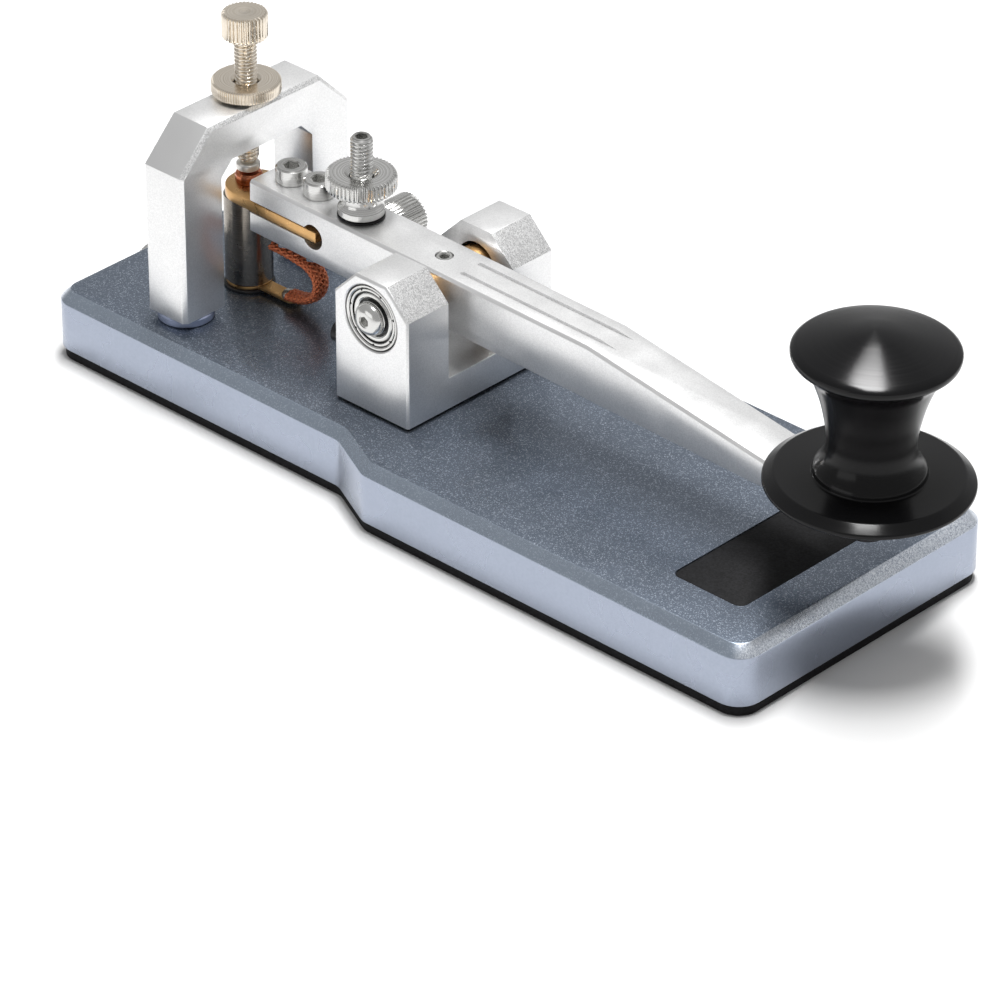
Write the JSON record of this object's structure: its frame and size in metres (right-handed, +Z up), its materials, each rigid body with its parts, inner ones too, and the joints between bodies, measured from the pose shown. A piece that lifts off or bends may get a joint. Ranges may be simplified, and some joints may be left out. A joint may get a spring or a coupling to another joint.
{
  "type": "morse key",
  "caption": "Straight morse key: knobbed lever in ball bearings on a heavy base, with a contact bridge, screw-set gap and magnetic return.",
  "frame": {"origin": "middle of the footprint, on the surface the key stands on", "axes": "+X along the lever towards the knob, +Y to the operator's left when facing the rear, +Z up"},
  "size_m": [0.1824, 0.0606, 0.0653],
  "materials": {
    "slate_anodised": "blasted and anodised dark slate, bright on its cut edges",
    "blasted_aluminium": "fine bead-blasted, silver",
    "bright_steel": "turned and polished",
    "warm_nickel": "nickel plated, slightly warm",
    "dark_nickel": "dark nickel plated, polished",
    "brass": "satin",
    "copper": "turned copper, polished",
    "copper_braid": "braided bare copper wire",
    "white_contact": "white silver alloy, polished",
    "black_polish": "turned and polished black resin",
    "black_rubber": "matte",
    "black_plastic": "moulded, satin",
    "black_oxide": "black oxide",
    "red_sleeve": "wire insulation",
    "blue_disc": "anodised light blue-grey"
  },
  "bodies": {
    "base": {"base_plate": "slate_anodised", "bridge": "blasted_aluminium", "pivot_block": "blasted_aluminium", "base_magnet": "bright_steel", "bearing_outer_near": "bright_steel", "bearing_outer_far": "bright_steel", "bearing_shield_near": "bright_steel", "bearing_shield_far": "bright_steel", "jack_nut": "bright_steel", "contact_post": "dark_nickel", "solder_tab": "brass", "braid": "copper_braid", "rubber_sheet": "black_rubber", "inlay_pad": "black_rubber", "block_gasket": "black_rubber", "post_washer": "black_plastic", "jack_socket": "black_plastic", "wire_bridge": "black_plastic", "bridge_screw_near": "black_oxide", "bridge_screw_far": "black_oxide", "block_screw_near": "black_oxide", "block_screw_far": "black_oxide", "post_screw": "black_oxide", "block_lock_screw_near": "black_oxide", "block_lock_screw_far": "black_oxide", "wire_post": "red_sleeve", "bridge_foot_near": "blue_disc", "bridge_foot_far": "blue_disc"},
    "lever_assembly": {"lever": "blasted_aluminium", "axle": "bright_steel", "bearing_inner_near": "bright_steel", "bearing_inner_far": "bright_steel", "brass_bush_near": "brass", "brass_bush_far": "brass", "axle_screw_near": "bright_steel", "axle_screw_far": "bright_steel", "brass_leaf": "brass", "contact_rivet": "copper", "leaf_screw_1": "bright_steel", "leaf_screw_2": "bright_steel", "leaf_nut_1": "bright_steel", "leaf_nut_2": "bright_steel", "pivot_set_screw": "bright_steel", "knob": "black_polish", "knob_screw": "black_oxide"},
    "contact_feed_body": {"contact_tip": "white_contact"},
    "contact_screw_body": {"contact_screw": "warm_nickel"},
    "lock_washer_body": {"lock_washer": "black_oxide"},
    "lock_nut_body": {"lock_nut": "warm_nickel"},
    "tension_feed_body": {"tension_magnet": "bright_steel"},
    "tension_screw_body": {"tension_screw": "bright_steel"},
    "thumb_washer_body": {"thumb_washer": "black_oxide"},
    "thumb_nut_body": {"thumb_nut": "bright_steel"},
    "side_tip_body": {"clamp_tip": "brass"},
    "side_screw_body": {"side_screw": "bright_steel"}
  },
  "joints": [
    {"name": "lever_pivot", "type": "hinge", "parent": "base", "child": "lever_assembly", "pos_m": [-0.01904, 0, 0.03125], "axis": [0, 1, 0], "range_deg": [0, 0.38], "stiffness_Nm_per_rad": 5, "springref_deg": -2.29},
    {"name": "contact_feed", "type": "slide", "parent": "base", "child": "contact_feed_body", "axis": [0, 0, 1], "range_m": [0, 0.0021]},
    {"name": "contact_turn", "type": "hinge", "parent": "contact_feed_body", "child": "contact_screw_body", "pos_m": [-0.06544, 0, 0.06], "axis": [0, 0, 1], "range_deg": [0, 1080.5]},
    {"name": "lock_nut_feed", "type": "slide", "parent": "base", "child": "lock_washer_body", "axis": [0, 0, 1], "range_m": [0, 0.0014]},
    {"name": "lock_nut_turn", "type": "hinge", "parent": "lock_washer_body", "child": "lock_nut_body", "pos_m": [-0.06544, 0, 0.051], "axis": [0, 0, 1], "range_deg": [0, 720.5]},
    {"name": "tension_feed", "type": "slide", "parent": "lever_assembly", "child": "tension_feed_body", "axis": [0.0209, 0, 0.9998], "range_m": [-0.0014, 0.0014]},
    {"name": "tension_turn", "type": "hinge", "parent": "tension_feed_body", "child": "tension_screw_body", "pos_m": [-0.03843, 0, 0.03166], "axis": [0.0209, 0, 0.9998], "range_deg": [-720.5, 720.5]},
    {"name": "thumb_nut_feed", "type": "slide", "parent": "lever_assembly", "child": "thumb_washer_body", "axis": [0.0209, 0, 0.9998], "range_m": [0, 0.0014]},
    {"name": "thumb_nut_turn", "type": "hinge", "parent": "thumb_washer_body", "child": "thumb_nut_body", "pos_m": [-0.03843, 0, 0.03166], "axis": [0.0209, 0, 0.9998], "range_deg": [0, 720.5]},
    {"name": "side_feed", "type": "slide", "parent": "lever_assembly", "child": "side_tip_body", "axis": [0, 1, 0], "range_m": [0, 0.001]},
    {"name": "side_turn", "type": "hinge", "parent": "side_tip_body", "child": "side_screw_body", "pos_m": [-0.03843, 0.008, 0.03186], "axis": [0, 1, 0], "range_deg": [0, 720.5]}
  ],
  "couplings": [
    {"joint": "contact_turn", "follows": "contact_feed", "rad_per_m": 8976},
    {"joint": "lock_nut_turn", "follows": "lock_nut_feed", "rad_per_m": 8976},
    {"joint": "tension_turn", "follows": "tension_feed", "rad_per_m": 8976},
    {"joint": "thumb_nut_turn", "follows": "thumb_nut_feed", "rad_per_m": 8976},
    {"joint": "side_turn", "follows": "side_feed", "rad_per_m": 12566}
  ]
}
